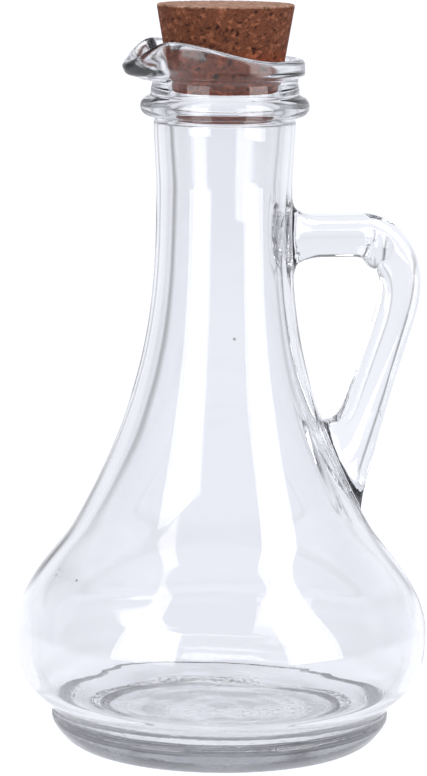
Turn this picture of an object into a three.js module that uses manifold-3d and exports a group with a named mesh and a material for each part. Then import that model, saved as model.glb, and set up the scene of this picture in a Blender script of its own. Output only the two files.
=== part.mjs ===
// Oil and vinegar bottle of clear pressed glass, with its tapered cork.
// Millimetres, +Z up. The origin is the centre of the foot's underside, on the bottle's axis.
// The pouring lip points along -X and the handle along +X, so the bottle mirrors in the XZ plane.
import * as THREE from 'three';
import { mergeVertices } from 'three/addons/utils/BufferGeometryUtils.js';
import Module from 'manifold-3d';

const wasm = await Module();
wasm.setup();

// Turning
const TURN_SEGMENTS = 64;
const CORK_SEGMENTS = 40;

// Foot and base
const BEARING_INNER_RADIUS = 28.6;
const BEARING_OUTER_RADIUS = 31.8;
const FOOT_RADIUS = 36.8;
const HEEL_HEIGHT = 5.1;
const FOOT_SIDE_TOP = 5.9;
const WAIST_RADIUS = 36.3;
const WAIST_HEIGHT = 6.8;
const PUNT_DEPTH = 1.6;
const PUNT_EDGE_DEPTH = 0.8;
const PUNT_MIDWAY = 0.6;
const FLOOR_HEIGHT = 6.6;
const FLOOR_RADIUS = 27;

// Body outline: waist, belly, inflection of the shoulder, throat and collar
const BELLY_RADIUS = 44.87;
const BELLY_HEIGHT = 24.4;
const SHOULDER_RADIUS = 32.0;
const SHOULDER_HEIGHT = 47.7;
const SHOULDER_LEAN = 0.51;
const THROAT_RADIUS = 14.6;
const THROAT_HEIGHT = 120.2;
const COLLAR_BASE_RADIUS = 15.3;
const COLLAR_BASE_HEIGHT = 136;

// How far each curve's handle reaches from its end point
const WAIST_PULL = { lean: 0.92, reach: 7.8 };
const UNDER_BELLY_PULL = 12.5;
const OVER_BELLY_PULL = 9.0;
const SHOULDER_PULL_DOWN = 6.7;
const SHOULDER_PULL_UP = 35.4;
const THROAT_PULL = 20.5;
const COLLAR_PULL = 3.8;

// Glass thickness
const BELLY_WALL = 2.9;
const NECK_WALL = 2.6;

// Collar ring and mouth
const RING_RADIUS = 15.9;
const RING_HEIGHT = 138.2;
const RING_THICKNESS = 2.25;
const RING_HALF_ARC = 1.25;
const MOUTH_NECK_RADIUS = 15.9;
const LIP_UNDERSIDE = 144.7;
const LIP_RADIUS = 17.1;
const LIP_CREST_RADIUS = 15.7;
const LIP_CREST_HEIGHT = 148.4;
const FLARE_TOP_RADIUS = 14.1;
const FLARE_BOTTOM_RADIUS = 13.4;
const FLARE_BOTTOM_HEIGHT = 145.2;
const MOUTH_RADIUS = 12.7;
const MOUTH_SEAT_HEIGHT = 144.3;

// Pouring lip
const SPOUT_REACH = 5.4;
const SPOUT_HALF_ANGLE = THREE.MathUtils.degToRad(27);
const SPOUT_TIP_ROUNDING = THREE.MathUtils.degToRad(3);
const UNDERSIDE_START = 143.2;
const NOSE_TOP = 147.7;
const CHANNEL_START = 145.2;
const WING_RISE = 4.0;
const WING_FLARE = 0.8;
const WING_ANGLE = THREE.MathUtils.degToRad(31);
const WING_END_ANGLE = THREE.MathUtils.degToRad(119);
const TIP_DROP = 0.5;

// Handle
const HANDLE_THICKNESS = 8.6;
const HANDLE_EDGE_ROUNDING = 2.4;
const HANDLE_TOP = 114.5;
const HANDLE_ARM_UNDERSIDE = 105.4;
const HANDLE_REACH = 44;
const HANDLE_CROTCH = 69.3;
const HANDLE_FOOT = 52.2;
const HANDLE_ROOT_START = 6;
const ROOT_DEPTH_IN_WALL = 1.3;
const ROOT_FILLET_START = 12.6;
const ROOT_FILLET = 4.2;

// Cork
const CORK_TOP_RADIUS = 14.7;
const CORK_BOTTOM_RADIUS = 11.6;
const CORK_BOTTOM_HEIGHT = 141;
const CORK_TOP_HEIGHT = 160;
const CORK_EDGE = 0.3;

const point = (radius, height) => new THREE.Vector2(radius, height);

// Points along a cubic curve, without its first one
function curvePoints(start, startHandle, endHandle, end, steps) {
  return new THREE.CubicBezierCurve(start, startHandle, endHandle, end).getPoints(steps).slice(1);
}

function ellipsePoints(centre, radiusR, radiusZ, from, to, steps) {
  const points = [];
  for (let i = 0; i <= steps; i += 1) {
    const angle = from + ((to - from) * i) / steps;
    points.push(point(centre.x + radiusR * Math.cos(angle), centre.y + radiusZ * Math.sin(angle)));
  }
  return points;
}

// Outline of the body from the waist over the foot up to the collar ring
function bodyOutline() {
  const waist = point(WAIST_RADIUS, WAIST_HEIGHT);
  const belly = point(BELLY_RADIUS, BELLY_HEIGHT);
  const shoulder = point(SHOULDER_RADIUS, SHOULDER_HEIGHT);
  const throat = point(THROAT_RADIUS, THROAT_HEIGHT);
  const collar = point(COLLAR_BASE_RADIUS, COLLAR_BASE_HEIGHT);
  const rise = point(-Math.sin(SHOULDER_LEAN), Math.cos(SHOULDER_LEAN));
  const flare = point(Math.cos(WAIST_PULL.lean), Math.sin(WAIST_PULL.lean));
  return [
    waist,
    ...curvePoints(
      waist,
      waist.clone().addScaledVector(flare, WAIST_PULL.reach),
      point(BELLY_RADIUS, BELLY_HEIGHT - UNDER_BELLY_PULL),
      belly,
      5,
    ),
    ...curvePoints(
      belly,
      point(BELLY_RADIUS, BELLY_HEIGHT + OVER_BELLY_PULL),
      shoulder.clone().addScaledVector(rise, -SHOULDER_PULL_DOWN),
      shoulder,
      5,
    ),
    ...curvePoints(
      shoulder,
      shoulder.clone().addScaledVector(rise, SHOULDER_PULL_UP),
      point(THROAT_RADIUS, THROAT_HEIGHT - THROAT_PULL),
      throat,
      8,
    ),
    ...curvePoints(
      throat,
      point(THROAT_RADIUS, THROAT_HEIGHT + COLLAR_PULL),
      point(COLLAR_BASE_RADIUS, COLLAR_BASE_HEIGHT - COLLAR_PULL),
      collar,
      2,
    ),
  ];
}

// The same outline moved into the glass, square to the surface, by a share of its thickness
function insetOutline(outline, share) {
  const inset = [];
  for (let i = 1; i < outline.length; i += 1) {
    const before = outline[i - 1];
    const after = outline[Math.min(i + 1, outline.length - 1)];
    const along = after.clone().sub(before).normalize();
    const height = THREE.MathUtils.clamp((outline[i].y - BELLY_HEIGHT) / (THROAT_HEIGHT - BELLY_HEIGHT), 0, 1);
    const wall = THREE.MathUtils.lerp(BELLY_WALL, NECK_WALL, height) * share;
    inset.push(point(outline[i].x - along.y * wall, outline[i].y + along.x * wall));
  }
  return inset;
}

function baseOutline() {
  const bearingEdge = point(BEARING_OUTER_RADIUS, 0);
  const sideStart = point(FOOT_RADIUS, HEEL_HEIGHT);
  return [
    point(0, PUNT_DEPTH),
    point(BEARING_INNER_RADIUS * PUNT_MIDWAY, THREE.MathUtils.lerp(PUNT_DEPTH, PUNT_EDGE_DEPTH, PUNT_MIDWAY ** 2)),
    point(BEARING_INNER_RADIUS - 1.2, PUNT_EDGE_DEPTH),
    point(BEARING_INNER_RADIUS - 0.4, PUNT_EDGE_DEPTH * 0.45),
    point(BEARING_INNER_RADIUS, 0),
    bearingEdge,
    ...curvePoints(
      bearingEdge,
      point(BEARING_OUTER_RADIUS + 1.2, 0.15),
      point(FOOT_RADIUS - 0.8, HEEL_HEIGHT / 2),
      sideStart,
      5,
    ),
    point(FOOT_RADIUS, FOOT_SIDE_TOP),
    point(FOOT_RADIUS - 0.2, FOOT_SIDE_TOP + 0.5),
  ];
}

function mouthOutline() {
  const ring = ellipsePoints(
    point(RING_RADIUS, RING_HEIGHT),
    RING_THICKNESS,
    RING_THICKNESS,
    -RING_HALF_ARC,
    RING_HALF_ARC,
    6,
  );
  return [
    ...ring,
    point(MOUTH_NECK_RADIUS, RING_HEIGHT + RING_THICKNESS + 0.8),
    point(MOUTH_NECK_RADIUS, UNDERSIDE_START),
    point(MOUTH_NECK_RADIUS + 0.2, (UNDERSIDE_START + LIP_UNDERSIDE) / 2),
    point(LIP_RADIUS - 0.5, LIP_UNDERSIDE),
    point(LIP_RADIUS, LIP_UNDERSIDE + 1.2),
    point(LIP_RADIUS, LIP_CREST_HEIGHT - 1.4),
    point(LIP_RADIUS - 0.5, LIP_CREST_HEIGHT - 0.5),
    point(LIP_CREST_RADIUS, LIP_CREST_HEIGHT),
    point(LIP_CREST_RADIUS - 0.8, LIP_CREST_HEIGHT - 0.4),
    point(FLARE_TOP_RADIUS, LIP_CREST_HEIGHT - 1.3),
    point(FLARE_BOTTOM_RADIUS, FLARE_BOTTOM_HEIGHT),
    point(MOUTH_RADIUS, MOUTH_SEAT_HEIGHT),
    point(MOUTH_RADIUS - 0.4, COLLAR_BASE_HEIGHT + 4),
  ];
}

function floorOutline(innerBellyStart) {
  return curvePoints(
    innerBellyStart,
    point(innerBellyStart.x - 0.2, innerBellyStart.y - 6.5),
    point(FLOOR_RADIUS + 9, FLOOR_HEIGHT + 0.8),
    point(FLOOR_RADIUS, FLOOR_HEIGHT),
    6,
  );
}

function shellOutline() {
  const body = bodyOutline();
  const inner = insetOutline(body, 1)
    .filter((p) => p.y > BELLY_HEIGHT - 3 && p.y < COLLAR_BASE_HEIGHT - 1)
    .reverse();
  return [
    ...baseOutline(),
    ...body,
    ...mouthOutline(),
    ...inner,
    ...floorOutline(inner[inner.length - 1]),
    point(0, FLOOR_HEIGHT),
  ];
}

// Angle round the axis from the spout, which points along -X
const angleFromSpout = (x, y) => Math.abs(Math.atan2(y, -x));

// How far the outside is drawn out at a height, so that the spout's underside is a rounded nose
function nosePull(height) {
  const climb = THREE.MathUtils.clamp((height - UNDERSIDE_START) / (NOSE_TOP - UNDERSIDE_START), 0, 1);
  return 1 - (1 - climb) ** 2;
}

// How far the lip's edge is drawn out at an angle, 1 at the spout's tip
function beak(angle) {
  const rounded = Math.hypot(angle, SPOUT_TIP_ROUNDING) - SPOUT_TIP_ROUNDING;
  return Math.max(0, 1 - rounded / SPOUT_HALF_ANGLE);
}

// Height of the lip's edge at an angle, above the level of the back of the lip
function edgeRise(angle) {
  if (angle < WING_ANGLE) {
    return (WING_RISE + TIP_DROP) * Math.sin((Math.PI / 2) * (angle / WING_ANGLE)) ** 2 - TIP_DROP;
  }
  const fall = THREE.MathUtils.clamp((angle - WING_ANGLE) / (WING_END_ANGLE - WING_ANGLE), 0, 1);
  return WING_RISE * 0.5 * (1 + Math.cos(Math.PI * fall));
}

// Draws the plain round lip out into the spout, and lifts and flares the two wings beside it
function shapePouringLip(geometry) {
  const positions = geometry.getAttribute('position');
  const innerLimit = LIP_CREST_RADIUS - 0.01;
  for (let i = 0; i < positions.count; i += 1) {
    const x = positions.getX(i);
    const y = positions.getY(i);
    const z = positions.getZ(i);
    const radius = Math.hypot(x, y);
    if (z > UNDERSIDE_START && radius > 0) {
      const angle = angleFromSpout(x, y);
      const outside = radius > innerLimit;
      const pull = outside
        ? nosePull(z)
        : THREE.MathUtils.clamp((z - CHANNEL_START) / (LIP_CREST_HEIGHT - CHANNEL_START), 0, 1);
      const lift = THREE.MathUtils.clamp((z - LIP_UNDERSIDE) / (LIP_CREST_HEIGHT - LIP_UNDERSIDE), 0, 1);
      const rise = lift * edgeRise(angle);
      const flare = WING_FLARE * Math.max(0, rise / WING_RISE);
      const drawn = radius + SPOUT_REACH * pull * beak(angle) + flare;
      positions.setXYZ(i, (x * drawn) / radius, (y * drawn) / radius, z + rise);
    }
  }
}

// Turned piece standing on +Z; the first and last points of its outline are on the axis
function turned(outline, segments) {
  const geometry = new THREE.LatheGeometry(outline, segments, -Math.PI / 2);
  geometry.rotateX(Math.PI / 2);
  return geometry;
}

// One closed solid with shared vertices and no triangle of zero area
function toSolid(geometry) {
  const shared = geometry.clone();
  shared.deleteAttribute('normal');
  shared.deleteAttribute('uv');
  const merged = mergeVertices(shared, 1e-4);
  const index = merged.getIndex().array;
  const triangles = [];
  for (let i = 0; i < index.length; i += 3) {
    const [a, b, c] = [index[i], index[i + 1], index[i + 2]];
    if (a !== b && b !== c && c !== a) {
      triangles.push(a, b, c);
    }
  }
  const mesh = new wasm.Mesh({
    numProp: 3,
    vertProperties: new Float32Array(merged.getAttribute('position').array),
    triVerts: new Uint32Array(triangles),
  });
  return new wasm.Manifold(mesh);
}

function toGeometry(solid) {
  const mesh = solid.getMesh();
  const geometry = new THREE.BufferGeometry();
  geometry.setAttribute('position', new THREE.BufferAttribute(mesh.vertProperties, 3));
  geometry.setIndex(new THREE.BufferAttribute(mesh.triVerts, 1));
  geometry.computeVertexNormals();
  return geometry;
}

// Side view of the handle, x outwards and y up, with both roots run into the wall
function handleOutline() {
  const outline = new THREE.Shape();
  outline.moveTo(HANDLE_ROOT_START, HANDLE_TOP + ROOT_FILLET);
  outline.lineTo(ROOT_FILLET_START, HANDLE_TOP + ROOT_FILLET);
  outline.quadraticCurveTo(ROOT_FILLET_START + 3, HANDLE_TOP + 0.4, 20.5, HANDLE_TOP);
  outline.lineTo(32, HANDLE_TOP);
  outline.bezierCurveTo(37.5, HANDLE_TOP, HANDLE_REACH, 107.6, HANDLE_REACH, 100);
  outline.quadraticCurveTo(HANDLE_REACH, 95.6, 42.6, 91.3);
  outline.lineTo(29.7, HANDLE_FOOT);
  outline.lineTo(HANDLE_ROOT_START, HANDLE_FOOT);
  outline.lineTo(HANDLE_ROOT_START, HANDLE_CROTCH + 3);
  outline.lineTo(21, HANDLE_CROTCH + 3);
  outline.quadraticCurveTo(21.8, HANDLE_CROTCH, 24, HANDLE_CROTCH);
  outline.quadraticCurveTo(26.9, HANDLE_CROTCH, 28.4, 73.7);
  outline.lineTo(33.7, 89.2);
  outline.quadraticCurveTo(35.6, 94.8, 35.6, 98);
  outline.bezierCurveTo(35.6, 102.4, 33, HANDLE_ARM_UNDERSIDE, 28.2, HANDLE_ARM_UNDERSIDE);
  outline.lineTo(20.5, HANDLE_ARM_UNDERSIDE);
  outline.quadraticCurveTo(
    ROOT_FILLET_START + 3,
    HANDLE_ARM_UNDERSIDE - 0.4,
    ROOT_FILLET_START,
    HANDLE_ARM_UNDERSIDE - ROOT_FILLET,
  );
  outline.lineTo(HANDLE_ROOT_START, HANDLE_ARM_UNDERSIDE - ROOT_FILLET);
  outline.closePath();
  return outline;
}

function handleSolid() {
  const geometry = new THREE.ExtrudeGeometry(handleOutline(), {
    depth: HANDLE_THICKNESS - 2 * HANDLE_EDGE_ROUNDING,
    curveSegments: 5,
    bevelEnabled: true,
    bevelThickness: HANDLE_EDGE_ROUNDING,
    bevelSize: HANDLE_EDGE_ROUNDING,
    bevelOffset: -HANDLE_EDGE_ROUNDING,
    bevelSegments: 3,
  });
  geometry.translate(0, 0, HANDLE_EDGE_ROUNDING - HANDLE_THICKNESS / 2);
  geometry.rotateX(Math.PI / 2);
  return toSolid(geometry);
}

// Everything inside the middle of the wall, so that the handle's roots stop within the glass
function wallCore() {
  const share = ROOT_DEPTH_IN_WALL / BELLY_WALL;
  const outline = insetOutline(bodyOutline(), share);
  const top = outline[outline.length - 1];
  const bottom = outline[0];
  return toSolid(turned([point(0, bottom.y), ...outline, point(0, top.y)], TURN_SEGMENTS));
}

function bottleGeometry() {
  const shell = turned(shellOutline(), TURN_SEGMENTS);
  shapePouringLip(shell);
  return toGeometry(toSolid(shell).add(handleSolid().subtract(wallCore())));
}

function corkGeometry() {
  return turned(
    [
      point(0, CORK_BOTTOM_HEIGHT),
      point(CORK_BOTTOM_RADIUS - CORK_EDGE, CORK_BOTTOM_HEIGHT),
      point(CORK_BOTTOM_RADIUS, CORK_BOTTOM_HEIGHT + CORK_EDGE),
      point(CORK_TOP_RADIUS, CORK_TOP_HEIGHT - CORK_EDGE),
      point(CORK_TOP_RADIUS - CORK_EDGE, CORK_TOP_HEIGHT),
      point(0, CORK_TOP_HEIGHT),
    ],
    CORK_SEGMENTS,
  );
}

function glassMaterial() {
  return new THREE.MeshStandardMaterial({
    color: 0xe9ebf4,
    roughness: 0.03,
    metalness: 0,
    transparent: true,
    opacity: 0.35,
  });
}

function corkMaterial() {
  return new THREE.MeshStandardMaterial({ color: 0x8a5238, roughness: 0.9, metalness: 0 });
}

function namedMesh(name, geometry, material) {
  const mesh = new THREE.Mesh(geometry, material);
  mesh.name = name;
  return mesh;
}

const bottleWithCork = new THREE.Group();
bottleWithCork.add(namedMesh('bottle', bottleGeometry(), glassMaterial()));
bottleWithCork.add(namedMesh('stopper', corkGeometry(), corkMaterial()));

export default bottleWithCork;
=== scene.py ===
"""A clear glass oil and vinegar bottle with its cork: its meshes, finishes, light and camera.

Metres, +Z up. The origin is the centre of the foot's underside, on the bottle's axis. The pouring
lip points along -X and the handle along +X. Outlines are drawn in millimetres and made metres at
the end.
"""

import logging
import math
from collections.abc import Sequence
from dataclasses import dataclass, field
from enum import Enum

import bmesh
import bpy
from bpy.types import Material, Node, NodeSocket, NodeTree, Object
from mathutils import Matrix, Vector, geometry, noise
from mathutils.bvhtree import BVHTree


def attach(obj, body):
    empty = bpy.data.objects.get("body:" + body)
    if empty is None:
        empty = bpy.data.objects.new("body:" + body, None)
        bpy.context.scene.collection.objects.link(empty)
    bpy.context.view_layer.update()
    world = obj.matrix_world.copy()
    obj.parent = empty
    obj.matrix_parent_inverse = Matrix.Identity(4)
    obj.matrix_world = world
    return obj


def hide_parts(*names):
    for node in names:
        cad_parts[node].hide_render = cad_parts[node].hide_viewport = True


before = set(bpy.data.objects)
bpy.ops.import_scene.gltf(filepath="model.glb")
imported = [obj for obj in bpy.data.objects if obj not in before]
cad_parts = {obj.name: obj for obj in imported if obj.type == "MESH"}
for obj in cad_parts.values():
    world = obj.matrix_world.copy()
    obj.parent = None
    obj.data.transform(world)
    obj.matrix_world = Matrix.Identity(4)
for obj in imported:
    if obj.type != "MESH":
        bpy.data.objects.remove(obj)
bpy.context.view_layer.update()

BMesh = bmesh.types.BMesh
Point = Sequence[float]
Colour = tuple[float, float, float]
Pattern = tuple[float, float, float, float]

MM = 0.001
SMOOTH = "SMOOTHSTEP"
VIEW_AZIMUTH = math.radians(-15)
# The surroundings turn bright between these cosines of the angle from straight behind.
REAR_RAMP = (0.2, 0.8)
# Dimmer strips in them: angle from straight behind, share of light left, half width as a sine.
STRIPS = ((math.radians(-19.5), 0.05, 0.1), (math.radians(21), 0.5, 0.075))
# Places in the noise field, so that granules, pits and splits don't share a pattern.
GRANULE_SHIFT = Vector((11.0, 5.0, 2.0))
PIT_SHIFT = Vector((7.3, 1.9, 4.4))
SPLIT_SHIFT = Vector((3.1, 8.2, 5.7))
STRETCH_SHIFT = Vector((15.4, 2.6, 9.3))
log = logging.getLogger("bottle")


class Join(Enum):
    """How one closed mesh is combined with another."""

    ADD = "UNION"
    CUT = "DIFFERENCE"


def clamp01(value: float) -> float:
    """Value limited to 0 to 1."""
    return min(1.0, max(0.0, value))


def smooth_step(value: float) -> float:
    """Soft ramp from 0 to 1 as value goes from 0 to 1."""
    share = clamp01(value)
    return share * share * (3.0 - 2.0 * share)


def smooth_end(value: float, rounding: float) -> float:
    """Value with the corner where it leaves 0 rounded off, and unchanged at 1.

    Args:
        value: a share from 0 to 1.
        rounding: how far the rounding reaches.

    Returns:
        The eased share.
    """
    eased = math.hypot(value, rounding) - rounding
    return eased / (math.hypot(1.0, rounding) - rounding)


def lerp(start: float, end: float, share: float) -> float:
    """Value a share of the way from start to end."""
    return start + (end - start) * share


# Outlines and meshes


class Outline:
    """A path in the half plane of radius and height, drawn in millimetres from point to point."""

    def __init__(self, radius: float, height: float) -> None:
        """Starts the path at a radius and a height."""
        self.points: list[Vector] = [Vector((radius, height))]

    def line(self, radius: float, height: float, steps: int = 1) -> None:
        """Adds a straight line.

        Args:
            radius: distance of its end from the axis.
            height: height of its end.
            steps: how many even stretches it is cut into.
        """
        start = self.points[-1]
        for step in range(1, steps + 1):
            share = step / steps
            self.points.append(Vector((lerp(start.x, radius, share), lerp(start.y, height, share))))

    def curve(self, first: Point, second: Point, end: Point, steps: int) -> None:
        """Adds one cubic curve.

        Args:
            first: handle of the point that the curve leaves.
            second: handle of the point that it reaches.
            end: the point that it reaches.
            steps: how many straight stretches stand for it.
        """
        knots = (self.points[-1], Vector(first), Vector(second), Vector(end))
        path = geometry.interpolate_bezier(*knots, steps + 1)
        self.points.extend([Vector((p[0], p[1])) for p in path[1:]])

    def bend(self, handle: Point, end: Point, steps: int) -> None:
        """Adds one curve with a single handle.

        Args:
            handle: the point that both ends of the curve aim at.
            end: the point that it reaches.
            steps: how many straight stretches stand for it.
        """
        aim, target = Vector(handle), Vector(end)
        first = self.points[-1].lerp(aim, 2 / 3)
        self.curve(first, target.lerp(aim, 2 / 3), target, steps)

    def arc(self, centre: Point, radius: float, start: float, end: float, steps: int) -> None:
        """Adds a circular arc, whose first point the path has reached.

        Args:
            centre: the middle of its circle.
            radius: its radius.
            start: angle of its first point, in radians from the outward direction.
            end: angle of its last point.
            steps: how many straight stretches stand for it.
        """
        for step in range(1, steps + 1):
            angle = lerp(start, end, step / steps)
            self.line(centre[0] + radius * math.cos(angle), centre[1] + radius * math.sin(angle))


def turned(points: list[Vector], steps: int) -> BMesh:
    """Spins an outline round the axis into a closed mesh.

    Args:
        points: the outline in millimetres, with its first and last point on the axis.
        steps: how many faces go round the axis.

    Returns:
        The mesh in metres, with faces that point outwards.
    """
    work = bmesh.new()
    verts = [work.verts.new((p.x * MM, 0.0, p.y * MM)) for p in points]
    edges = [work.edges.new(pair) for pair in zip(verts, verts[1:])]
    bmesh.ops.spin(
        work,
        geom=verts + edges,
        cent=(0, 0, 0),
        axis=(0, 0, 1),
        angle=math.tau,
        steps=steps,
        use_merge=True,
    )
    bmesh.ops.remove_doubles(work, verts=work.verts, dist=1e-3 * MM)
    bmesh.ops.recalc_face_normals(work, faces=work.faces)
    return work


def to_object(work: BMesh, name: str) -> Object:
    """Makes an object of a mesh.

    Args:
        work: the mesh, which is freed.
        name: the object's name.

    Returns:
        The object, linked to the scene and shaded smooth.
    """
    for face in work.faces:
        face.smooth = True
    mesh = bpy.data.meshes.new(name)
    work.to_mesh(mesh)
    work.free()
    piece = bpy.data.objects.new(name, mesh)
    bpy.context.scene.collection.objects.link(piece)
    return piece


def combine(target: Object, other: Object, join: Join) -> None:
    """Combines one closed object with another, and removes the other.

    Args:
        target: the object that stays.
        other: the object that is added to it or cut from it.
        join: which of the two.
    """
    step = target.modifiers.new("combine", "BOOLEAN")
    step.operation = join.value
    step.solver = "MANIFOLD"
    step.object = other
    bpy.context.view_layer.update()
    evaluated = target.evaluated_get(bpy.context.evaluated_depsgraph_get())
    result = bpy.data.meshes.new_from_object(evaluated)
    target.modifiers.clear()
    spare = target.data
    name = spare.name
    target.data = result
    bpy.data.meshes.remove(spare)
    result.name = name
    bpy.data.objects.remove(other)


# The glass


@dataclass(frozen=True)
class Foot:
    """Underside and heel of the bottle, in millimetres."""

    bearing_inner: float = 28.6
    bearing_outer: float = 31.8
    radius: float = 36.8
    heel_height: float = 5.1
    side_top: float = 5.9
    punt_depth: float = 1.6
    punt_edge: float = 0.8
    bearing_steps: int = 9

    def outline(self) -> list[Vector]:
        """Outline from the middle of the underside out to the top of the foot's side."""
        inner, side = self.bearing_inner, self.radius
        path = Outline(0.0, self.punt_depth)
        path.curve(
            (inner * 0.4, self.punt_depth),
            (inner * 0.75, self.punt_edge + 0.3),
            (inner - 3.2, self.punt_edge),
            20,
        )
        path.bend((inner - 1.6, self.punt_edge * 0.6), (inner, 0.0), 6)
        path.line(self.bearing_outer, 0.0, self.bearing_steps)
        path.curve(
            (self.bearing_outer + 1.2, 0.15),
            (side - 0.8, self.heel_height / 2),
            (side, self.heel_height),
            12,
        )
        path.bend((side, self.side_top), (side - 0.3, self.side_top), 4)
        return path.points


@dataclass(frozen=True)
class Body:
    """Waist, belly, shoulder, throat and collar of the turned glass, in millimetres."""

    waist_radius: float = 36.3
    waist_height: float = 6.8
    waist_lean: float = 0.92
    waist_pull: float = 7.8
    waist_rounding: float = 0.9
    belly_radius: float = 44.87
    belly_height: float = 24.4
    belly_pull_down: float = 12.5
    belly_pull_up: float = 9.0
    shoulder_radius: float = 32.0
    shoulder_height: float = 47.7
    shoulder_lean: float = 0.51
    shoulder_pull_down: float = 6.7
    shoulder_pull_up: float = 35.4
    throat_radius: float = 14.6
    throat_height: float = 120.2
    throat_pull: float = 20.5
    collar_radius: float = 15.3
    collar_height: float = 136.0
    collar_pull: float = 3.8
    belly_wall: float = 2.9
    neck_wall: float = 2.6
    floor_height: float = 6.6
    floor_radius: float = 27.0
    floor_rings: int = 18

    def outer(self) -> list[Vector]:
        """Outline from the waist over the foot up to the collar ring."""
        up = Vector((0.0, 1.0))
        rise = Vector((-math.sin(self.shoulder_lean), math.cos(self.shoulder_lean)))
        flare = Vector((math.cos(self.waist_lean), math.sin(self.waist_lean)))
        waist = Vector((self.waist_radius, self.waist_height))
        belly = Vector((self.belly_radius, self.belly_height))
        shoulder = Vector((self.shoulder_radius, self.shoulder_height))
        throat = Vector((self.throat_radius, self.throat_height))
        collar = Vector((self.collar_radius, self.collar_height))
        path = Outline(waist.x + 0.1, waist.y - self.waist_rounding)
        path.bend(waist, waist + flare * self.waist_rounding, 6)
        path.curve(waist + flare * self.waist_pull, belly - up * self.belly_pull_down, belly, 22)
        path.curve(belly + up * self.belly_pull_up, shoulder - rise * self.shoulder_pull_down, shoulder, 16)
        path.curve(shoulder + rise * self.shoulder_pull_up, throat - up * self.throat_pull, throat, 36)
        path.curve(throat + up * self.collar_pull, collar - up * self.collar_pull, collar, 8)
        return path.points

    def inset(self, share: float) -> list[Vector]:
        """The outer outline moved into the glass, square to the surface.

        Args:
            share: how far, as a share of the wall's thickness.

        Returns:
            Its points, from the lowest up.
        """
        outer = self.outer()
        inner = []
        for before, here, after in zip(outer, outer[1:], outer[2:] + outer[-1:]):
            along = (after - before).normalized()
            height = clamp01((here.y - self.belly_height) / (self.throat_height - self.belly_height))
            wall = lerp(self.belly_wall, self.neck_wall, height) * share
            inner.append(here + Vector((-along.y, along.x)) * wall)
        return inner

    def inner(self) -> list[Vector]:
        """Outline of the hollow from under the collar down to the middle of the floor."""
        low = self.belly_height - 3.0
        high = self.collar_height - 1.0
        wall = [p for p in self.inset(1.0) if low < p.y < high]
        wall.reverse()
        path = Outline(*wall[-1])
        path.curve(
            wall[-1] + Vector((-0.2, -6.5)),
            (self.floor_radius + 11.0, self.floor_height + 0.4),
            (self.floor_radius, self.floor_height),
            18,
        )
        path.line(0.0, self.floor_height, self.floor_rings)
        return wall + path.points[1:]


@dataclass(frozen=True)
class Mouth:
    """Collar ring, lip and throat of the mouth before the lip is drawn out, in millimetres."""

    ring_radius: float = 15.9
    ring_height: float = 138.2
    ring_thickness: float = 2.25
    ring_half_arc: float = 1.25
    neck_radius: float = 15.9
    lip_underside: float = 144.7
    lip_radius: float = 17.1
    crest_radius: float = 15.7
    crest_height: float = 148.4
    flare_top: float = 14.1
    flare_bottom: float = 13.4
    flare_height: float = 145.2
    bore_radius: float = 12.7
    seat_height: float = 144.3

    def outline(self) -> list[Vector]:
        """Outline from the collar ring over the lip and down into the bore."""
        neck, lip, bore, crest = self.neck_radius, self.lip_radius, self.bore_radius, self.crest_height
        ring, half = self.ring_thickness, self.ring_half_arc
        under, flare = self.lip_underside, self.flare_height
        top = self.ring_height + ring + 0.8
        path = Outline(self.ring_radius + ring * math.cos(half), self.ring_height - ring * math.sin(half))
        path.arc((self.ring_radius, self.ring_height), ring, -half, half, 16)
        path.bend((neck, top - 0.7), (neck, top), 3)
        path.line(neck, top + 0.7)
        path.line(neck - 0.3, under - 1.5)
        path.bend((neck - 0.2, under - 0.1), (lip - 0.5, under), 6)
        path.bend((lip, under + 0.1), (lip, under + 0.8), 4)
        path.line(lip, crest - 1.4)
        path.bend((lip, crest), (self.crest_radius, crest), 7)
        path.bend((self.crest_radius - 1.0, crest), (self.flare_top, crest - 1.3), 6)
        path.line(self.flare_bottom, flare, 2)
        path.bend((bore + 0.2, flare - 0.3), (bore, self.seat_height), 5)
        path.line(bore - 0.3, self.seat_height - 2.0)
        path.line(bore - 0.4, self.ring_height + 2.0)
        return path.points


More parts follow.
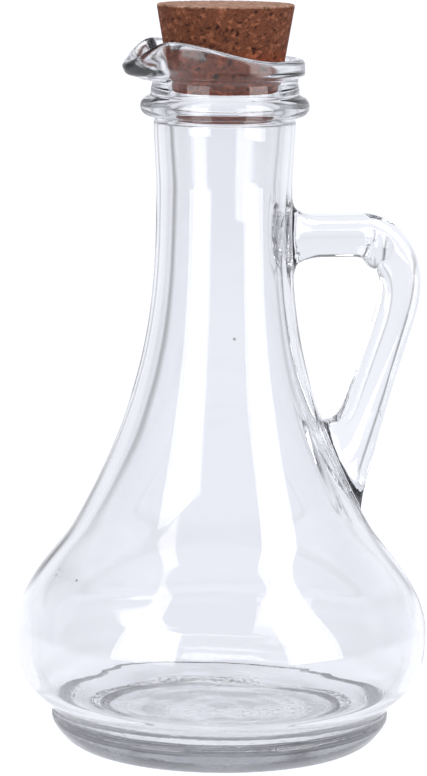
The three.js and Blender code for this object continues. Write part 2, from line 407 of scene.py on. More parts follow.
@dataclass(frozen=True)
class PouringLip:
    """The round lip drawn out into a spout with a raised wing on each side, in millimetres."""

    reach: float = 5.4
    half_angle: float = math.radians(25)
    tip_rounding: float = math.radians(7)
    root_rounding: float = 0.12
    underside_start: float = 143.0
    nose_top: float = 146.8
    channel_start: float = 146.2
    channel_reach: float = 4.9
    channel_half_angle: float = math.radians(23)
    wing_rise: float = 4.0
    wing_flare: float = 0.8
    wing_angle: float = math.radians(31)
    wing_end: float = math.radians(119)
    tip_drop: float = 0.5

    def beak(self, angle: float, half_angle: float) -> float:
        """How far the lip is drawn out.

        Args:
            angle: angle round the axis from the spout's middle, in radians.
            half_angle: angle at which the drawn part ends.

        Returns:
            A share of the reach, 1 at the spout's tip.
        """
        rounded = math.hypot(angle, self.tip_rounding) - self.tip_rounding
        return smooth_end(max(0.0, 1.0 - rounded / half_angle), self.root_rounding)

    def edge_rise(self, angle: float) -> float:
        """Height of the lip's edge above the level at its back.

        Args:
            angle: angle round the axis from the spout's middle, in radians.

        Returns:
            The height in millimetres.
        """
        if angle < self.wing_angle:
            climb = math.sin(math.pi / 2 * angle / self.wing_angle) ** 2
            return (self.wing_rise + self.tip_drop) * climb - self.tip_drop
        fall = clamp01((angle - self.wing_angle) / (self.wing_end - self.wing_angle))
        return self.wing_rise * 0.5 * (1.0 + math.cos(math.pi * fall))

    def shape(self, work: BMesh, mouth: Mouth) -> None:
        """Moves the points of a plain turned lip.

        Args:
            work: the turned mesh, in metres.
            mouth: the sizes of its mouth.
        """
        for vert in work.verts:
            height = vert.co.z / MM
            radius = math.hypot(vert.co.x, vert.co.y) / MM
            if height <= self.underside_start or radius == 0.0:
                continue
            angle = abs(math.atan2(vert.co.y, -vert.co.x))
            if radius > mouth.crest_radius - 0.01:
                climb = clamp01((height - self.underside_start) / (self.nose_top - self.underside_start))
                pull = (1.0 - (1.0 - climb) ** 2) * self.reach * self.beak(angle, self.half_angle)
            else:
                climb = clamp01((height - self.channel_start) / (mouth.crest_height - self.channel_start))
                pull = climb * self.channel_reach * self.beak(angle, self.channel_half_angle)
            lift = clamp01((height - mouth.lip_underside) / (mouth.crest_height - mouth.lip_underside))
            rise = lift * self.edge_rise(angle)
            flare = self.wing_flare * max(0.0, rise / self.wing_rise)
            drawn = radius + pull + flare
            vert.co.x *= drawn / radius
            vert.co.y *= drawn / radius
            vert.co.z += rise * MM


@dataclass(frozen=True)
class Handle:
    """The side handle: an arm, a member that slants back to the shoulder, and two roots."""

    thickness: float = 8.6
    edge_rounding: float = 2.4
    edge_steps: int = 5
    top: float = 114.5
    arm_underside: float = 105.4
    reach: float = 44.0
    crotch: float = 69.3
    foot: float = 52.2
    root_start: float = 6.0
    root_depth: float = 1.3
    fillet: float = 4.2
    fillet_start: float = 12.6
    fillet_end: float = 20.5
    gap_reach: float = 35.6
    bar_height: float = 110.0
    bar_radius: float = 4.2
    bar_end: float = 31.0
    bar_width: float = 1.16
    knob_sizes: tuple[float, float, float] = (3.8, 5.2, 5.2)
    knob_place: tuple[float, float] = (34.6, 107.6)

    def bar(self) -> BMesh:
        """The rounder bar inside the arm, along X, which stands a little proud of its flat sides."""
        path = Outline(0.0, self.root_start)
        path.line(self.bar_radius, self.root_start)
        path.line(self.bar_radius, self.bar_end, 12)
        path.arc((0.0, self.bar_end), self.bar_radius, 0.0, math.pi / 2, 8)
        work = turned(path.points, 48)
        upright_to_x = Matrix.Rotation(math.pi / 2, 3, "Y")
        bmesh.ops.rotate(work, verts=work.verts, cent=(0, 0, 0), matrix=upright_to_x)
        bmesh.ops.scale(work, verts=work.verts, vec=(1, self.bar_width, 1))
        bmesh.ops.translate(work, verts=work.verts, vec=(0, 0, self.bar_height * MM))
        return work

    def knob(self) -> BMesh:
        """The round end of that bar, at the elbow."""
        work = bmesh.new()
        bmesh.ops.create_uvsphere(work, u_segments=48, v_segments=32, radius=MM)
        bmesh.ops.scale(work, verts=work.verts, vec=self.knob_sizes)
        place = Vector((self.knob_place[0], 0, self.knob_place[1])) * MM
        bmesh.ops.translate(work, verts=work.verts, vec=place)
        return work

    def side_outline(self) -> list[Vector]:
        """Outline of the handle from the side, as distance from the axis and height, roots included."""
        top, under, reach, gap = self.top, self.arm_underside, self.reach, self.gap_reach
        root, crotch, start, end = self.root_start, self.crotch, self.fillet_start, self.fillet_end
        path = Outline(root, top + self.fillet)
        path.line(start, top + self.fillet)
        path.bend((start + 3, top + 0.4), (end, top), 10)
        path.line(32, top)
        path.curve((37.5, top), (reach, 107.6), (reach, 100), 16)
        path.bend((reach, 95.6), (42.6, 91.3), 8)
        path.line(29.7, self.foot)
        path.line(root, self.foot)
        path.line(root, crotch + 3)
        path.line(21, crotch + 3)
        path.bend((21.8, crotch), (24, crotch), 8)
        path.bend((26.9, crotch), (28.4, 73.7), 8)
        path.line(33.7, 89.2)
        path.bend((gap, 94.8), (gap, 98), 8)
        path.curve((gap, 102.4), (33, under), (28.2, under), 12)
        path.line(end, under)
        path.bend((start + 3, under - 0.4), (start, under - self.fillet), 10)
        path.line(root, under - self.fillet)
        return path.points

    def build(self) -> BMesh:
        """Extrudes the side outline both ways and rounds its edges."""
        work = bmesh.new()
        flat = self.thickness / 2 - self.edge_rounding
        ring = [work.verts.new((p.x * MM, flat * MM, p.y * MM)) for p in self.side_outline()]
        far = work.faces.new(ring)
        extruded = bmesh.ops.extrude_face_region(work, geom=[far])
        moved = [g for g in extruded["geom"] if isinstance(g, bmesh.types.BMVert)]
        bmesh.ops.translate(work, verts=moved, vec=(0, -2 * flat * MM, 0))
        bmesh.ops.recalc_face_normals(work, faces=work.faces)
        caps = [f for f in work.faces if len(f.verts) > 4]
        for cap in caps:
            self.round_over(work, cap)
        return work

    def round_over(self, work: BMesh, cap: bmesh.types.BMFace) -> None:
        """Rounds the edge of one side face with a run of insets, and frames what stays flat.

        Args:
            work: the handle's mesh.
            cap: its side face.
        """
        quarter = math.pi / 2
        for step in range(self.edge_steps):
            start = quarter * step / self.edge_steps
            end = quarter * (step + 1) / self.edge_steps
            bmesh.ops.inset_region(
                work,
                faces=[cap],
                use_boundary=True,
                use_even_offset=True,
                thickness=self.edge_rounding * (math.cos(start) - math.cos(end)) * MM,
                depth=self.edge_rounding * (math.sin(end) - math.sin(start)) * MM,
            )
        frame_edge = {"use_boundary": True, "use_even_offset": True, "thickness": 0.25 * MM, "depth": 0.0}
        bmesh.ops.inset_region(work, faces=[cap], **frame_edge)


@dataclass
class Bottle:
    """The glass: one closed shell with its foot, belly, neck, ring, pouring lip and handle."""

    foot: Foot = field(default_factory=Foot)
    body: Body = field(default_factory=Body)
    mouth: Mouth = field(default_factory=Mouth)
    lip: PouringLip = field(default_factory=PouringLip)
    handle: Handle = field(default_factory=Handle)
    turn_steps: int = 320
    seam_reach: float = 2.0
    seam_rounds: int = 24
    stipple_size: float = 0.8
    stipple_depth: float = 0.35
    stipple_gain: float = 1.6
    unevenness: float = 0.22
    unevenness_size: float = 26.0
    uneven_heights: tuple[float, float] = (12.0, 130.0)
    uneven_reach: float = 43.0
    uneven_fade: float = 10.0
    ripple: float = 0.35
    ripple_size: float = 9.0
    ring_ripple: float = 0.05
    ring_spacing: float = 0.75
    ring_wander: float = 2.0
    floor_reach: float = 38.0
    floor_band: float = 2.2
    floor_facing: float = 0.6
    floor_fade: float = 8.0
    underside_fade: float = 3.0
    seed_size: float = 0.3
    seed_places: tuple[tuple[float, float, float], ...] = (
        (-172.5, 38.7, 38.6),
        (-159.4, 39.2, 38.2),
        (-173.4, 39.8, 37.7),
        (-95.9, 90.6, 16.3),
    )

    def shell(self) -> BMesh:
        """Turns the wall, shapes its pouring lip and stipples its bearing ring."""
        points = self.foot.outline() + self.body.outer() + self.mouth.outline() + self.body.inner()
        work = turned(points, self.turn_steps)
        self.lip.shape(work, self.mouth)
        self.stipple_bearing(work)
        return work

    def wall_core(self) -> BMesh:
        """Everything inside the middle of the wall, which the handle's roots stop at."""
        middle = self.body.inset(self.handle.root_depth / self.body.belly_wall)
        points = [Vector((0, middle[0].y)), *middle, Vector((0, middle[-1].y))]
        return turned(points, self.turn_steps)

    def soften_seam(self, work: BMesh, handle: BVHTree, shell: BVHTree) -> None:
        """Rounds the corner where the handle's roots meet the wall.

        Args:
            work: the joined mesh.
            handle: the handle's surface before the join.
            shell: the wall's surface before the join.
        """
        reach = self.seam_reach * MM
        near = [
            v
            for v in work.verts
            if handle.find_nearest(v.co, reach)[0] is not None
            and shell.find_nearest(v.co, reach)[0] is not None
        ]
        for _ in range(self.seam_rounds):
            bmesh.ops.smooth_vert(
                work, verts=near, factor=0.5, use_axis_x=True, use_axis_y=True, use_axis_z=True
            )

    def stipple_bearing(self, work: BMesh) -> None:
        """Presses the small dimples of the mould into the flat ring that the bottle stands on.

        Args:
            work: the turned mesh.
        """
        middle = lerp(self.foot.bearing_inner, self.foot.bearing_outer, 0.5)
        half = (self.foot.bearing_outer - self.foot.bearing_inner) / 2
        for vert in work.verts:
            radius = math.hypot(vert.co.x, vert.co.y) / MM
            if vert.co.z > 1e-3 * MM or abs(radius - middle) > half * 0.95:
                continue
            bump = noise.noise(vert.co / (self.stipple_size * MM))
            vert.co.z += self.stipple_depth * MM * clamp01(bump * self.stipple_gain)

    def make_uneven(self, work: BMesh) -> None:
        """Gives the hollow's surface the slow waves of blown glass.

        Args:
            work: the joined mesh.
        """
        low, high = self.uneven_heights
        for vert in work.verts:
            radius = math.hypot(vert.co.x, vert.co.y)
            height = vert.co.z / MM
            inward = vert.normal.x * vert.co.x + vert.normal.y * vert.co.y < 0
            if not inward or not low < height < high or radius > self.uneven_reach * MM:
                continue
            fade = smooth_step(min(height - low, high - height) / self.uneven_fade)
            wave = noise.noise(vert.co / (self.unevenness_size * MM)) * self.unevenness * MM
            vert.co += vert.normal * wave * fade

    def add_seeds(self, work: BMesh) -> None:
        """Encloses the few small bubbles that the glass has, each a closed hollow in the wall.

        Args:
            work: the joined mesh.
        """
        depth = self.body.neck_wall / 2
        for azimuth, height, radius in self.seed_places:
            turn = math.radians(azimuth)
            place = Vector((math.cos(turn), math.sin(turn), 0.0)) * (radius - depth)
            place.z = height - depth / 2
            matrix = Matrix.Translation(place * MM)
            made = bmesh.ops.create_icosphere(work, subdivisions=2, radius=self.seed_size * MM, matrix=matrix)
            faces = {face for vert in made["verts"] for face in vert.link_faces}
            bmesh.ops.reverse_faces(work, faces=list(faces))

    def make_base_uneven(self, work: BMesh) -> None:
        """Gives the hollow's floor and the underside the ripples of glass that cooled in the mould.

        Args:
            work: the joined mesh.
        """
        edge = self.foot.bearing_inner
        for vert in work.verts:
            radius = math.hypot(vert.co.x, vert.co.y) / MM
            height = vert.co.z / MM
            near_floor = abs(height - self.body.floor_height) < self.floor_band
            if near_floor and vert.normal.z > self.floor_facing and radius < self.floor_reach:
                fade = smooth_step((self.floor_reach - radius) / self.floor_fade)
            elif height < self.foot.punt_depth + 0.05 and radius < edge:
                fade = smooth_step((edge - radius) / self.underside_fade)
            else:
                continue
            slow = noise.noise(vert.co / (self.ripple_size * MM))
            rings = math.sin(radius / self.ring_spacing + self.ring_wander * slow)
            vert.co.z += (self.ripple * slow + self.ring_ripple * rings) * fade * MM

    def build(self) -> Object:
        """Builds the whole glass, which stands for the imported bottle."""
        shell = self.shell()
        shell_tree = BVHTree.FromBMesh(shell)
        piece = to_object(shell, "clear_glass_bottle")
        root = to_object(self.handle.build(), "handle_blank")
        combine(root, to_object(self.handle.bar(), "arm_bar"), Join.ADD)
        combine(root, to_object(self.handle.knob(), "elbow_knob"), Join.ADD)
        combine(root, to_object(self.wall_core(), "wall_core"), Join.CUT)
        handle = bmesh.new()
        handle.from_mesh(root.data)
        handle_tree = BVHTree.FromBMesh(handle)
        handle.free()
        combine(piece, root, Join.ADD)
        work = bmesh.new()
        work.from_mesh(piece.data)
        bmesh.ops.remove_doubles(work, verts=work.verts, dist=1e-3 * MM)
        self.soften_seam(work, handle_tree, shell_tree)
        work.normal_update()
        self.make_uneven(work)
        self.make_base_uneven(work)
        self.add_seeds(work)
        for face in work.faces:
            face.smooth = True
        work.to_mesh(piece.data)
        work.free()
        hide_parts("bottle")
        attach(piece, "root")
        return piece


# The cork


@dataclass
class Cork:
    """The tapered cork of pressed granules, in millimetres."""

    top_radius: float = 14.7
    bottom_radius: float = 11.6
    bottom_height: float = 141.0
    top_height: float = 160.0
    edge: float = 0.5
    skin: float = 0.04
    turn_steps: int = 300
    bottom_steps: int = 12
    side_steps: int = 80
    top_steps: int = 48
    granule_size: float = 1.25
    granule_flatness: float = 1.5
    crack_depth: float = 0.12
    crack_width: float = 0.14
    split_size: float = 1.6
    split_depth: float = 0.35
    split_width: float = 0.075
    pit_size: float = 0.9
    pit_depth: float = 0.45
    grain_seed: int = 7

    def outline(self) -> list[Vector]:
        """Outline from the middle of the underside round to the middle of the top face."""
        low, high = self.bottom_height, self.top_height - self.skin
        path = Outline(0.0, low)
        path.line(self.bottom_radius - self.edge, low, self.bottom_steps)
        path.bend((self.bottom_radius, low), (self.bottom_radius, low + self.edge), 3)
        path.line(self.top_radius, high - self.edge, self.side_steps)
        path.bend((self.top_radius, high), (self.top_radius - self.edge, high), 4)
        path.line(0.0, high, self.top_steps)
        return path.points

    def split(self, place: Vector) -> float:
        """How deep in one of the short curved splits between granules a point lies.

        Args:
            place: the point, in metres.

        Returns:
            A share from 0 to 1.
        """
        here = place / (self.split_size * MM)
        line = 1.0 - smooth_step(abs(noise.noise(here + SPLIT_SHIFT)) / self.split_width)
        stretch = smooth_step((noise.noise(here * 0.8 + STRETCH_SHIFT) + 0.02) / 0.14)
        return line * stretch

    def build(self) -> Object:
        """Turns the cork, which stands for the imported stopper, and presses its granules into it."""
        work = turned(self.outline(), self.turn_steps)
        tone = work.verts.layers.float_color.new("cork_grain")
        work.normal_update()
        noise.seed_set(self.grain_seed)
        deeper = self.pit_depth - self.split_depth
        for vert in work.verts:
            place = vert.co / (self.granule_size * MM)
            place.z *= self.granule_flatness
            jitter = noise.noise_vector(place * 1.7) * 0.4
            distances, cells = noise.voronoi(place + jitter)
            crack = 1.0 - smooth_step((distances[1] - distances[0]) / self.crack_width)
            hole = smooth_step((noise.noise(vert.co / (self.pit_size * MM) + PIT_SHIFT) - 0.4) / 0.12)
            pit = max(hole, self.split(vert.co))
            granule = noise.cell(cells[0] * 3.7 + GRANULE_SHIFT)
            vert[tone] = (granule, crack, pit, 1.0)
            depth = self.crack_depth * crack + self.split_depth * pit + deeper * hole
            vert.co -= vert.normal * depth * MM
        piece = to_object(work, "pressed_cork")
        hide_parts("stopper")
        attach(piece, "root")
        return piece


# Finishes


def node(
    tree: NodeTree,
    kind: str,
    inputs: dict[str | int, object] | None = None,
    **settings: object,
) -> Node:
    """Adds a node, sets its properties and fills its inputs.

    Args:
        tree: the tree that it goes in.
        kind: its type name.
        inputs: a value or the socket that feeds it, by the input's name or number.
        settings: properties of the node by name.

    Returns:
        The new node.
    """
    made = tree.nodes.new(kind)
    for name, value in settings.items():
        setattr(made, name, value)
    for name, value in (inputs or {}).items():
        if isinstance(value, NodeSocket):
            tree.links.new(value, made.inputs[name])
        else:
            made.inputs[name].default_value = value
    return made


def maths(tree: NodeTree, operation: str, *values: object, clamp: bool = False) -> NodeSocket:
    """Works out a value from others.

    Args:
        tree: the tree that the node goes in.
        operation: name of what it does.
        values: its inputs, each a number or a socket.
        clamp: whether the result is kept within 0 to 1.

    Returns:
        The socket that gives the result.
    """
    inputs = dict(enumerate(values))
    return node(tree, "ShaderNodeMath", inputs, operation=operation, use_clamp=clamp).outputs["Value"]


def ramp(
    tree: NodeTree,
    value: NodeSocket,
    ends: tuple[float, float],
    results: tuple[float, float] = (0.0, 1.0),
    shape: str = SMOOTH,
) -> NodeSocket:
    """Turns a value into another one that runs evenly or softly between two results.

    Args:
        tree: the tree that the node goes in.
        value: the socket that gives the value.
        ends: where the result starts and ends, in either order.
        results: what it is there.
        shape: name of the way it runs in between.

    Returns:
        The socket that gives the result.
    """
    inputs = {"Value": value, "From Min": ends[0], "From Max": ends[1]}
    inputs |= {"To Min": results[0], "To Max": results[1]}
    return node(tree, "ShaderNodeMapRange", inputs, interpolation_type=shape).outputs["Result"]


def mix(
    tree: NodeTree,
    share: NodeSocket,
    low: Colour | NodeSocket,
    high: Colour | NodeSocket,
    blend: str = "MIX",
) -> NodeSocket:
    """Mixes two colours by a value.

    Args:
        tree: the tree that the node goes in.
        share: the socket that gives the value.
        low: the colour at 0.
        high: the colour at 1, or what the other is multiplied by there.
        blend: name of the way they are mixed.

    Returns:
        The socket that gives the colour.
    """
    ends = [end if isinstance(end, NodeSocket) else (*end, 1.0) for end in (low, high)]
    inputs = {"Factor": share, 6: ends[0], 7: ends[1]}
    return node(tree, "ShaderNodeMix", inputs, data_type="RGBA", blend_type=blend).outputs[2]


def height_mask(tree: NodeTree, start: float, end: float, shape: str = SMOOTH) -> NodeSocket:
    """A mask that goes from 0 to 1 between two heights, in metres and in either order."""
    place = node(tree, "ShaderNodeTexCoord")
    axes = node(tree, "ShaderNodeSeparateXYZ", {"Vector": place.outputs["Object"]})
    return ramp(tree, axes.outputs["Z"], (start, end), shape=shape)


def blank_material(name: str) -> tuple[Material, NodeTree]:
    """Makes an empty node material of that name, and gives it and its tree."""
    material = bpy.data.materials.new(name)
    material.use_nodes = True
    material.node_tree.nodes.clear()
    return material, material.node_tree


def mottle_group() -> NodeTree:
    """The soft uneven pattern that glass, cork and floor share.

    Returns:
        A node group with inputs Scale, Detail, Low and High and the output Value.
    """
    name = "mottle"
    if name in bpy.data.node_groups:
        return bpy.data.node_groups[name]
    tree = bpy.data.node_groups.new(name, "ShaderNodeTree")
    for label in ("Scale", "Detail", "Low", "High"):
        tree.interface.new_socket(label, in_out="INPUT", socket_type="NodeSocketFloat")
    tree.interface.new_socket("Value", in_out="OUTPUT", socket_type="NodeSocketFloat")
    inlet = node(tree, "NodeGroupInput").outputs
    place = node(tree, "ShaderNodeTexCoord").outputs["Object"]
    inputs = {"Vector": place, "Scale": inlet["Scale"], "Detail": inlet["Detail"]}
    pattern = node(tree, "ShaderNodeTexNoise", inputs).outputs["Fac"]
    value = ramp(tree, pattern, (0.3, 0.7), (inlet["Low"], inlet["High"]))
    node(tree, "NodeGroupOutput", {"Value": value})
    return tree


def mottle(tree: NodeTree, pattern: Pattern) -> NodeSocket:
    """Places the shared pattern in a material.

    Args:
        tree: the material's tree.
        pattern: waves per metre, number of finer layers, lowest and highest value.

    Returns:
        The socket that gives its value.
    """
    inputs = dict(zip(("Scale", "Detail", "Low", "High"), pattern))
    return node(tree, "ShaderNodeGroup", inputs, node_tree=mottle_group()).outputs["Value"]


def rear_share(tree: NodeTree, direction: NodeSocket, azimuth: float) -> NodeSocket:
    """A mask that is 1 behind the bottle, less in two narrow strips, and 0 beside and before it.

    Args:
        tree: the tree of a floor or sky.
        direction: the socket that gives the direction from the bottle.
        azimuth: which way is behind it.

    Returns:
        The socket that gives the mask.
    """
    sine, cosine = math.sin(azimuth), math.cos(azimuth)
    facing, sideways = (
        node(tree, "ShaderNodeVectorMath", {0: direction, 1: axis}, operation="DOT_PRODUCT").outputs["Value"]
        for axis in ((-sine, cosine, 0.0), (cosine, sine, 0.0))
    )
    total = ramp(tree, facing, REAR_RAMP)
    for angle, light, half_width in STRIPS:
        apart = maths(tree, "ABSOLUTE", maths(tree, "SUBTRACT", sideways, math.sin(angle)))
        total = maths(tree, "MULTIPLY", total, ramp(tree, apart, (0.0, half_width), (light, 1.0)))
    return total


@dataclass(frozen=True)
class GlassFinish:
    """Smooth pressed clear glass with a faint blue cast and slow surface waves."""

    tint: Colour = (0.93, 0.932, 0.945)
    depth_tint: Colour = (0.87, 0.872, 0.878)
    depth_density: float = 100.0
    ior: float = 1.51
    smears: Pattern = (90.0, 4.0, 0.0, 0.012)
    waves: Pattern = (55.0, 1.0, 0.0, 1.0)
    wave_height: float = 0.00012
    wave_strength: float = 0.25
    dull_below: tuple[tuple[float, float], ...] = ((0.0019, 0.22), (0.0075, 0.04))
    dull_fade: float = 0.001
    lip_height: float = 0.1447
    lip_fade: float = -0.0005
    lip_roughness: float = 0.1
    stipple: Pattern = (1300.0, 1.0, 0.0, 1.0)
    stipple_top: float = 0.0085
    stipple_fade: float = 0.003
    stipple_height: float = 0.000014

    def material(self) -> Material:
        """Builds the material."""
        material, tree = blank_material("clear_glass")
        zones = [(height, self.dull_fade, amount) for height, amount in self.dull_below]
        roughness = mottle(tree, self.smears)
        for height, fade, amount in (*zones, (self.lip_height, self.lip_fade, self.lip_roughness)):
            zone = height_mask(tree, height + fade, height)
            roughness = maths(tree, "MULTIPLY_ADD", zone, amount, roughness)
        waves = {
            "Strength": self.wave_strength,
            "Distance": self.wave_height,
            "Height": mottle(tree, self.waves),
        }
        stipple = {
            "Strength": height_mask(tree, self.stipple_top + self.stipple_fade, self.stipple_top),
            "Distance": self.stipple_height,
            "Height": mottle(tree, self.stipple),
            "Normal": node(tree, "ShaderNodeBump", waves).outputs["Normal"],
        }
        surface = {
            "Base Color": (*self.tint, 1.0),
            "IOR": self.ior,
            "Transmission Weight": 1.0,
            "Roughness": roughness,
            "Normal": node(tree, "ShaderNodeBump", stipple).outputs["Normal"],
        }
        shader = node(tree, "ShaderNodeBsdfPrincipled", surface)
        depth = {"Color": (*self.depth_tint, 1.0), "Density": self.depth_density}
        absorption = node(tree, "ShaderNodeVolumeAbsorption", depth)
        outlets = {"Surface": shader.outputs["BSDF"], "Volume": absorption.outputs["Volume"]}
        node(tree, "ShaderNodeOutputMaterial", outlets)
        return material


@dataclass(frozen=True)
class CorkFinish:
    """Dull pressed cork: reddish brown granules with dark pits, a top face that is paler partly as its own
    cut face and partly as painted light from above, and painted light on the part inside the glass.
    """

    dark_granule: Colour = (0.135, 0.041, 0.018)
    light_granule: Colour = (0.262, 0.09, 0.044)
    # The top face's colours are paler than the sides partly because the cut face is paler and partly as
    # painted light from above.
    painted_lit_top_dark: Colour = (0.4, 0.22, 0.15)
    painted_lit_top_light: Colour = (0.62, 0.4, 0.31)
    top_fade: tuple[float, float] = (0.1594, 0.1598)
    pit: Colour = (0.035, 0.011, 0.006)
    crack_weight: float = 0.45
    pit_weight: float = 0.9
    # Painted light: below the mouth the cork's colour is multiplied up, brighter and redder, for light that
    # the glass keeps from reaching it.
    painted_light_fade: tuple[float, float] = (0.151, 0.148)
    painted_light_gain: Colour = (1.75, 1.25, 1.1)
    flecks: Pattern = (900.0, 5.0, -0.35, 0.35)
    roughness: float = 0.85
    specular: float = 0.3
    bumps: Pattern = (1400.0, 3.0, 0.0, 1.0)
    bump_height: float = 0.0002
    bump_strength: float = 0.6

    def material(self) -> Material:
        """Builds the material."""
        material, tree = blank_material("cork")
        grain = node(tree, "ShaderNodeAttribute", attribute_name="cork_grain")
        parts = node(tree, "ShaderNodeSeparateColor", {"Color": grain.outputs["Color"]}).outputs
        tone = maths(tree, "ADD", parts["Red"], mottle(tree, self.flecks), clamp=True)
        side = mix(tree, tone, self.dark_granule, self.light_granule)
        # Top face colour: partly its own paler cut face, partly painted light from above.
        top = mix(tree, tone, self.painted_lit_top_dark, self.painted_lit_top_light)
        colour = mix(tree, height_mask(tree, *self.top_fade, "LINEAR"), side, top)
        # Painted light: the cork's colour is made brighter and redder below the mouth, inside the glass.
        inside = height_mask(tree, *self.painted_light_fade, "LINEAR")
        colour = mix(tree, inside, colour, self.painted_light_gain, "MULTIPLY")
        for mask, weight in ((parts["Green"], self.crack_weight), (parts["Blue"], self.pit_weight)):
            colour = mix(tree, maths(tree, "MULTIPLY", mask, weight, clamp=True), colour, self.pit)
        bumps = {
            "Strength": self.bump_strength,
            "Distance": self.bump_height,
            "Height": mottle(tree, self.bumps),
        }
        surface = {
            "Base Color": colour,
            "Roughness": self.roughness,
            "Specular IOR Level": self.specular,
            "Normal": node(tree, "ShaderNodeBump", bumps).outputs["Normal"],
        }
        shader = node(tree, "ShaderNodeBsdfPrincipled", surface)
        node(tree, "ShaderNodeOutputMaterial", {"Surface": shader.outputs["BSDF"]})
        return material


@dataclass(frozen=True)
class FloorFinish:
    """Plain floor that glows white as painted light: brightest behind and under the bottle, where the glow
    keeps its shade faint, and dimmer out to the sides.
    """

    rear_azimuth: float
    rear_light: Colour
    room_light: Colour
    colour: Colour = (0.2, 0.2, 0.205)
    roughness: Pattern = (6.0, 2.0, 0.75, 0.85)
    near_radius: float = 0.12
    far_radius: float = 0.6

    def material(self) -> Material:
        """Builds the material."""
        material, tree = blank_material("glowing_floor")
        place = node(tree, "ShaderNodeTexCoord").outputs["Object"]
        outward = node(tree, "ShaderNodeVectorMath", {0: place}, operation="NORMALIZE").outputs["Vector"]
        away = node(tree, "ShaderNodeVectorMath", {0: place}, operation="LENGTH").outputs["Value"]
        # Painted light: the floor glows brightest near the bottle, which keeps the shade under it faint, and
        # behind it; dimmer beside and before it.
        near = ramp(tree, away, (self.far_radius, self.near_radius))
        share = maths(tree, "MAXIMUM", rear_share(tree, outward, self.rear_azimuth), near)
        surface = {
            "Base Color": (*self.colour, 1.0),
            "Emission Color": mix(tree, share, self.room_light, self.rear_light),
            "Emission Strength": 1.0,
            "Specular IOR Level": 0.0,
            "Roughness": mottle(tree, self.roughness),
        }
        shader = node(tree, "ShaderNodeBsdfPrincipled", surface)
        node(tree, "ShaderNodeOutputMaterial", {"Surface": shader.outputs["BSDF"]})
        return material


# Studio


def around(azimuth: float, distance: float, height: float) -> Vector:
    """The place at an azimuth from the front, a distance from the axis and a height, in metres."""
    return Vector((math.sin(azimuth) * distance, -math.cos(azimuth) * distance, height))


@dataclass(frozen=True)
class Camera:
    """The photograph's viewpoint, in metres and radians, with the part's axis as its turn centre."""

    distance: float = 0.76
    height: float = 0.1951
    azimuth: float = VIEW_AZIMUTH
    pitch: float = math.radians(8.82)
    roll: float = math.radians(0.49)
    aim_left: float = math.radians(0.145)
    focal_length: float = 299.8
    sensor_width: float = 36.0

    def build(self) -> None:
        """Makes the camera and gives it to the scene."""
        data = bpy.data.cameras.new("photo_camera")
        data.lens = self.focal_length
        data.sensor_width = self.sensor_width
        data.sensor_fit = "HORIZONTAL"
        data.clip_start = 0.05
        data.clip_end = 50.0
        camera = bpy.data.objects.new("photo_camera", data)
        place = Matrix.Translation(around(self.azimuth, self.distance, self.height))
        facing = Matrix.Rotation(self.azimuth + self.aim_left, 4, "Z")
        tilt = Matrix.Rotation(math.pi / 2 - self.pitch, 4, "X")
        lean = Matrix.Rotation(self.roll, 4, "Z")
        camera.matrix_world = place @ facing @ tilt @ lean
        bpy.context.scene.collection.objects.link(camera)
        bpy.context.scene.camera = camera


@dataclass(frozen=True)
class SoftBox:
    """One rectangular soft light that faces the bottle's axis, in metres, radians and watts."""

    name: str
    azimuth: float
    distance: float
    height: float
    aim_height: float
    width: float
    tall: float
    power: float

    def build(self) -> None:
        """Makes the light."""
        data = bpy.data.lights.new(self.name, "AREA")
        data.shape = "RECTANGLE"
        data.size = self.width
        data.size_y = self.tall
        data.energy = self.power
        light = bpy.data.objects.new(self.name, data)
        place = around(self.azimuth, self.distance, self.height)
        aim = Vector((0.0, 0.0, self.aim_height))
        light.location = place
        light.rotation_euler = (aim - place).to_track_quat("-Z", "Y").to_euler()
        bpy.context.scene.collection.objects.link(light)


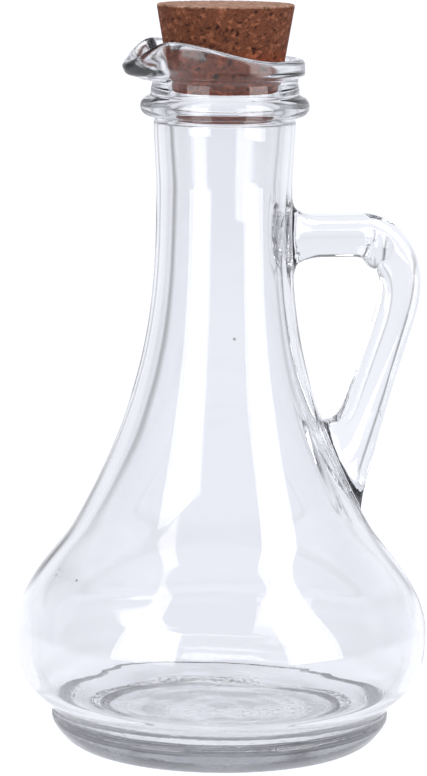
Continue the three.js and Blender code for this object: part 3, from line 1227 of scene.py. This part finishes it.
@dataclass
class Studio:
    """Floor, sky and soft lights round the bottle."""

    floor_radius: float = 6.0
    # The floor's glow colours, painted light: behind and near the bottle, and beside and before it.
    floor_rear_glow: Colour = (0.965, 0.98, 1.04)
    floor_room_glow: Colour = (0.32, 0.32, 0.325)
    rear_light: Colour = (1.01, 1.03, 1.09)
    room_light: Colour = (0.24, 0.24, 0.245)
    ceiling_light: Colour = (0.2, 0.2, 0.205)
    ceiling_ramp: tuple[float, float] = (0.3, 0.75)
    rear_azimuth: float = VIEW_AZIMUTH
    boxes: tuple[SoftBox, ...] = (
        SoftBox("left_box", VIEW_AZIMUTH - math.radians(42), 0.75, 0.33, 0.33, 0.49, 0.64, 3.6),
        SoftBox("left_fill", VIEW_AZIMUTH - math.radians(50), 0.75, 0.92, 0.92, 0.2, 0.52, 0.7),
        SoftBox("right_box", VIEW_AZIMUTH + math.radians(53.5), 0.75, 0.61, 0.61, 0.42, 1.2, 6.4),
        SoftBox("top_box", VIEW_AZIMUTH + math.pi, 0.3, 1.5, 0.1, 0.6, 0.6, 6.0),
    )

    def floor(self) -> None:
        """Makes the round floor, whose glow is painted light."""
        work = bmesh.new()
        bmesh.ops.create_circle(work, cap_ends=True, segments=96, radius=self.floor_radius)
        floor = to_object(work, "floor")
        finish = FloorFinish(self.rear_azimuth, self.floor_rear_glow, self.floor_room_glow)
        floor.data.materials.append(finish.material())

    def sky(self) -> None:
        """Makes the surroundings: bright behind the bottle, dimmer beside, before and above it."""
        world = bpy.data.worlds.new("studio")
        world.use_nodes = True
        tree = world.node_tree
        tree.nodes.clear()
        place = node(tree, "ShaderNodeTexCoord").outputs["Generated"]
        rear = rear_share(tree, place, self.rear_azimuth)
        wall = mix(tree, rear, self.room_light, self.rear_light)
        axes = node(tree, "ShaderNodeSeparateXYZ", {"Vector": place})
        up = ramp(tree, axes.outputs["Z"], self.ceiling_ramp)
        background = node(tree, "ShaderNodeBackground", {"Color": mix(tree, up, wall, self.ceiling_light)})
        node(tree, "ShaderNodeOutputWorld", {"Surface": background.outputs["Background"]})
        bpy.context.scene.world = world

    def build(self) -> None:
        """Makes the whole studio and sets how light is traced through the glass."""
        self.floor()
        self.sky()
        for box in self.boxes:
            box.build()
        scene = bpy.context.scene
        scene.view_settings.view_transform = "Standard"
        scene.cycles.max_bounces = 20
        scene.cycles.transmission_bounces = 18
        scene.cycles.glossy_bounces = 10
        scene.cycles.use_denoising = True


def main() -> None:
    """Builds the pieces, dresses them, and sets up light and camera."""
    logging.basicConfig(level=logging.INFO, format="%(message)s")
    finishes = {"clear_glass_bottle": GlassFinish(), "pressed_cork": CorkFinish()}
    for builder in (Bottle(), Cork()):
        piece = builder.build()
        piece.data.materials.clear()
        piece.data.materials.append(finishes[piece.name].material())
        log.info("%s: %d faces", piece.name, len(piece.data.polygons))
    Studio().build()
    Camera().build()


if __name__ == "__main__":
    main()
